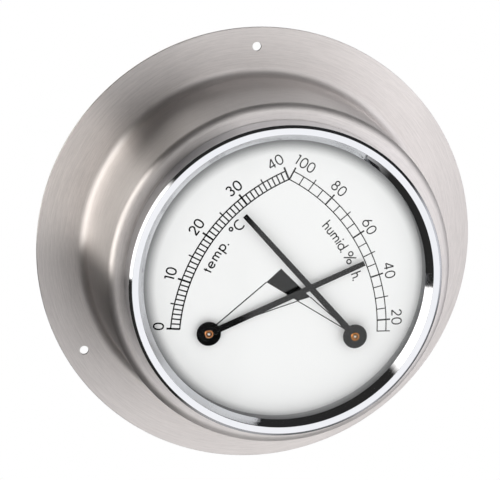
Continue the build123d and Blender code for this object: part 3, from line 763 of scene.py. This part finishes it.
def print_glyph(strokes, x, z, up, width):
    for points, closed in strokes:
        line([place(x, z, up, across, along) for across, along in points], width, closed)


def print_numbers():
    for text, offsets, x, z, angle, lean, width, shift, lift in NUMBERS:
        middle = place(x, z, angle, shift, lift)
        for digit, offset in zip(text, offsets):
            base = place(*middle, angle + lean, offset, -NUMERAL / 2)
            print_glyph(DIGITS[digit], *base, angle + lean, width)


def hygro_angle(fraction):
    return SCALE_START + (SCALE_END - SCALE_START) * fraction


def thermo_angle(fraction):
    return 180 - hygro_angle(fraction)


def on_arc(centre_x, angle, radius):
    return place(centre_x, ARC_Z, angle, 0, radius)


def print_scales():
    """Two arcs a scale, with a tick every degree and every five per cent."""
    fractions = [i / ARC_STEPS for i in range(ARC_STEPS + 1)]
    for radius in (ARC_INNER, ARC_OUTER):
        line([on_arc(ARC_X, thermo_angle(f), radius) for f in fractions], 0.38)
        line([on_arc(-ARC_X, hygro_angle(f), radius) for f in fractions], 0.30)
    for value in range(THERMO_TOP + 1):
        angle = thermo_angle(value / THERMO_TOP)
        outer = LONG_TICK if value % 5 == 0 else ARC_OUTER + 0.1
        line([on_arc(ARC_X, angle, ARC_INNER - 0.12), on_arc(ARC_X, angle, outer)],
             0.54 if value % 10 == 0 else 0.39)
    for value in range(HYGRO_LOW, HYGRO_TOP + 1, 5):
        angle = hygro_angle((value - HYGRO_LOW) / (HYGRO_TOP - HYGRO_LOW))
        outer = LONG_TICK if value % 10 == 0 or value == HYGRO_LOW else ARC_OUTER + 0.1
        line([on_arc(-ARC_X, angle, ARC_INNER - 0.1), on_arc(-ARC_X, angle, outer)],
             0.46 if value % 20 == 0 else 0.30)


def print_legends():
    for centre_x, radius, width, letters in LEGENDS:
        for letter, angle in letters:
            print_glyph(LETTERS[letter], *on_arc(centre_x, angle, radius), angle, width)


def print_comfort_field():
    ink.append(FIELD)
    for start, end, width in GUIDES:
        line([start, end], width)


def unite(polygons):
    """Unites overlapping polygons; returns points, faces and the directed sides of faces."""
    for _ in range(4):
        verts, faces = [], []
        for polygon in polygons:
            following = polygon[1:] + polygon[:1]
            area = sum(a[0] * b[1] - b[0] * a[1] for a, b in zip(polygon, following))
            if area < 0:
                polygon = polygon[::-1]
            faces.append(list(range(len(verts), len(verts) + len(polygon))))
            verts += [Vector(p) for p in polygon]
        points, _, cells, _, _, origins = delaunay_2d_cdt(verts, [], faces, 0, 1e-4)
        kept = [cell for cell, origin in zip(cells, origins) if origin]
        # a dict keeps the sides in order
        sides = {(cell[i], cell[(i + 1) % len(cell)]): True
                 for cell in kept for i in range(len(cell))}
        leaving = {}
        for a, b in sides:
            if (b, a) not in sides:
                leaving[a] = leaving.get(a, 0) + 1
        pinched = sorted(i for i in leaving if leaving[i] > 1)
        if not pinched:
            break
        # where two strokes would meet in a single point, a dot of ink joins them
        polygons = polygons + [
            [(points[i].x + 0.03 * cos(rad(45 * k + 11)),
              points[i].y + 0.03 * sin(rad(45 * k + 11))) for k in range(8)]
            for i in pinched]
    return points, kept, sides


def print_solid(name, polygons):
    """One thin closed solid of all the ink."""
    points, kept, sides = unite(polygons)
    used = sorted({i for cell in kept for i in cell})
    index = {i: k for k, i in enumerate(used)}
    count = len(used)
    verts = [(points[i].x * MM, y * MM, points[i].y * MM)
             for y in (PRINT_FRONT, PRINT_BACK) for i in used]
    front = [tuple(index[i] for i in cell) for cell in kept]
    faces = front + [tuple(i + count for i in reversed(cell)) for cell in front]
    for start, end in sides:
        if (end, start) not in sides:
            a, b = index[start], index[end]
            faces.append((b, a, a + count, b + count))
    obj = new_object(name, verts, faces)
    clean(obj.data)
    return obj


print_numbers()
print_scales()
print_legends()
print_comfort_field()
seat(print_solid("dial_print", ink), "dial_ink", MATERIALS["ink"])


# ---------------------------------------------------------------- studio
def floor_material():
    """White to the camera, pale to other rays, and clear from below."""
    graph = new_graph("pale_floor")
    seen = graph.camera_ray()
    tone = graph.noise(graph.coords(), scale=3.0)
    pale = graph.add("ShaderNodeBsdfDiffuse", {"Color": tone.blend(grey(0.86), grey(0.9))})
    white = graph.add("ShaderNodeEmission", {"Color": grey(1.0), "Strength": 1.0})
    clear = graph.add("ShaderNodeBsdfTransparent")
    above = graph.add("ShaderNodeMixShader", {0: seen, 1: pale, 2: white})
    return graph.finish(graph.add("ShaderNodeMixShader", {
        0: graph.backfacing(), 1: above, 2: clear}))


def build_floor(half=6, height=-0.16):
    """A large square below the case, in metres."""
    corners = [(-half, -half), (half, -half), (half, half), (-half, half)]
    floor = new_object("floor", [(x, y, height) for x, y in corners], [(0, 1, 2, 3)])
    floor.data.materials.append(floor_material())
    floor.visible_glossy = False
    floor.visible_diffuse = False


def build_studio():
    """A pale room seen directly; soft boxes and dark gaps seen in the metal."""
    world = bpy.data.worlds.new("studio")
    graph = Graph(world)
    scene.world = world
    world.cycles.sampling_method = "NONE"
    to_degrees = 57.29578
    x, y, z = graph.split(graph.coords("Generated"))
    # azimuth is 0 in front of the dial and grows to the right
    azimuth = graph.math("ARCTAN2", x, y * -1.0) * to_degrees
    elevation = graph.math("ARCSINE", z) * to_degrees
    singular, glossy, camera_ray = graph.outputs(
        "ShaderNodeLightPath", ("Is Singular Ray", "Is Glossy Ray", "Is Camera Ray"))

    def box(across, height, level):
        """A soft box; across and height are (low, high, low softness, high softness)."""
        return azimuth.band(*across) * elevation.band(*height) * level

    # the box in front on the right; a clear gloss shows less of its near edge than metal
    in_metal = box((-3, 68, 2.5, 8), (-40, 32, 8, 5), level=1.30)
    in_gloss = box((11.8, 68, 0.25, 8), (-40, 32, 8, 5), level=1.30)
    front_right = singular.choose(in_metal, in_gloss)
    right = box((60, 90, 4, 3), (-40, 12, 8, 5), level=0.25)
    # the box on the left has a sloping lower edge
    sloped = elevation + (azimuth + 70.0) * 0.1
    left = box((-100, -47, 3, 3), (-40, 32, 1.0, 4), level=2.4) * sloped.ramp(-14.0, -12.6)
    far_right = box((88, 102, 3, 4), (-50, 16, 4, 9), level=0.84)
    low_right = box((88, 116, 3, 5), (-100, -46, 1, 6), level=0.95)
    back_right = box((100, 200, 5, 1), (-100, 16, 1, 9), level=0.20)
    behind = abs(azimuth).ramp(138, 150) * elevation.band(2, 46, 6, 6) * 1.0
    low_behind = abs(azimuth).ramp(156, 166) * elevation.band(-62, 4, 6, 4) * 0.50
    under = elevation.ramp(-80, -64, 0.50, 0.0)
    level = 0.03  # the dark gaps
    for part in (front_right, right, left, far_right, low_right, back_right, behind,
                 low_behind, under):
        level = graph.math("MAXIMUM", level, part)

    # soft light for all that scatters: strongest in front, a little more from the lower left
    lean = x * -0.12 + z * -0.14
    facing = graph.math("POWER", graph.math("MAXIMUM", y * -1.0, 0.0), 1.5)
    soft = graph.math("MAXIMUM", 0.22 + lean + facing * 1.42, 0.05)
    strength = camera_ray.choose(glossy.choose(soft, level), 1.0)

    # in reflections the left is a little warmer and the right a little cooler
    warm = glossy * x.fall(-0.6, 0.1)
    cool = glossy * x.ramp(0.25, 0.75)
    tint = warm.blend(grey(1.0), (1.0, 0.978, 0.935, 1))
    tint = cool.blend(tint, (0.965, 0.968, 1.0, 1))
    background = graph.add("ShaderNodeBackground", {"Color": tint, "Strength": strength})
    graph.node("ShaderNodeOutputWorld", {"Surface": background})


def build_camera():
    """In front of the dial, a little to the left and above, looking at the target."""
    azimuth, elevation, roll = rad(-11.7491), rad(12.5908), rad(3.6013)
    target = Vector((-1.712, 0.0, 1.4217)) * MM
    distance = 0.717682  # metres
    back = Vector((sin(azimuth) * cos(elevation), -cos(azimuth) * cos(elevation),
                   sin(elevation)))
    level_right = Vector((cos(azimuth), sin(azimuth), 0.0))
    level_up = back.cross(level_right)
    right = cos(roll) * level_right + sin(roll) * level_up
    up = -sin(roll) * level_right + cos(roll) * level_up
    data = bpy.data.cameras.new("camera")
    data.sensor_width = 36.0
    data.lens = 171.988
    data.clip_start = 0.02
    data.clip_end = 60.0
    camera = bpy.data.objects.new("camera", data)
    scene.collection.objects.link(camera)
    rows = [(right[i], up[i], back[i], 0.0) for i in range(3)]
    camera.matrix_world = Matrix(rows + [(0, 0, 0, 1)])
    camera.location = target + back * distance
    scene.camera = camera


build_floor()
build_studio()
build_camera()
